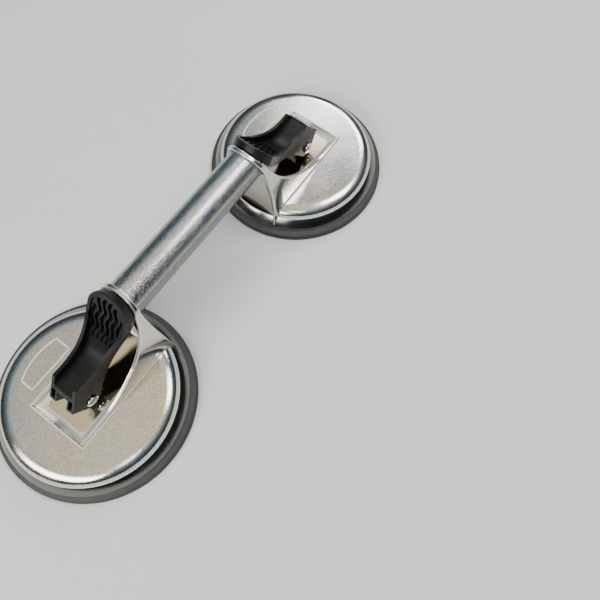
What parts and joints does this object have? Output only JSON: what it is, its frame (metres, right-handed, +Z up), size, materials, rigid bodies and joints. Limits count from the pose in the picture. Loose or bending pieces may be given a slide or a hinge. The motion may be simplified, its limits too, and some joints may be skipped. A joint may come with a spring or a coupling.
{
  "type": "vacuum suction cup lifter",
  "caption": "Hand lifter with a tube handle between rubber suction cups, each under a pressed steel cover and drawn up by a folding cam lever.",
  "frame": {"origin": "centre of the bounding box, on the plane that the rubber lips rest on", "axes": "+X along the handle tube from cup a to cup b, +Z up from the surface that the cups grip, +Y square to both"},
  "size_m": [0.318, 0.118, 0.0726],
  "materials": {
    "plated_steel": "bright plated sheet steel with a fine satin speckle",
    "black_rubber": "matt, a little dusty",
    "black_plastic": "satin moulded",
    "spring_steel": "bright turned and stamped steel"
  },
  "bodies": {
    "frame": {"handle_tube": "plated_steel", "cup_cover_a": "plated_steel", "lever_housing_a": "plated_steel", "neck_end_panel_a": "plated_steel", "bearing_plate_a": "plated_steel", "rubber_pad_a": "black_rubber", "return_spring_a": "spring_steel", "cup_cover_b": "plated_steel", "lever_housing_b": "plated_steel", "neck_end_panel_b": "plated_steel", "bearing_plate_b": "plated_steel", "rubber_pad_b": "black_rubber", "return_spring_b": "spring_steel"},
    "draw_stem_a": {"stem_a": "spring_steel", "pad_plate_a": "spring_steel", "spring_washer_a": "spring_steel", "pivot_pin_a": "spring_steel", "pin_clip_a": "spring_steel"},
    "cam_lever_a": {"lever_a": "black_plastic"},
    "draw_stem_b": {"stem_b": "spring_steel", "pad_plate_b": "spring_steel", "spring_washer_b": "spring_steel", "pivot_pin_b": "spring_steel", "pin_clip_b": "spring_steel"},
    "cam_lever_b": {"lever_b": "black_plastic"}
  },
  "joints": [
    {"name": "stem_lift_a", "type": "slide", "parent": "frame", "child": "draw_stem_a", "axis": [0, 0, 1], "range_m": [0, 0.00501], "deforming": ["return_spring_a"]},
    {"name": "lever_turn_a", "type": "hinge", "parent": "draw_stem_a", "child": "cam_lever_a", "pos_m": [-0.101, 0, 0.025], "axis": [0, -1, 0], "range_deg": [0, 127.5]},
    {"name": "stem_lift_b", "type": "slide", "parent": "frame", "child": "draw_stem_b", "axis": [0, 0, 1], "range_m": [0, 0.00501], "deforming": ["return_spring_b"]},
    {"name": "lever_turn_b", "type": "hinge", "parent": "draw_stem_b", "child": "cam_lever_b", "pos_m": [0.101, 0, 0.025], "axis": [0, 1, 0], "range_deg": [0, 127.5]}
  ],
  "couplings": [
    {"joint": "stem_lift_a", "follows": "lever_turn_a", "m_per_rad": 0.0022469},
    {"joint": "stem_lift_b", "follows": "lever_turn_b", "m_per_rad": 0.0022469}
  ]
}
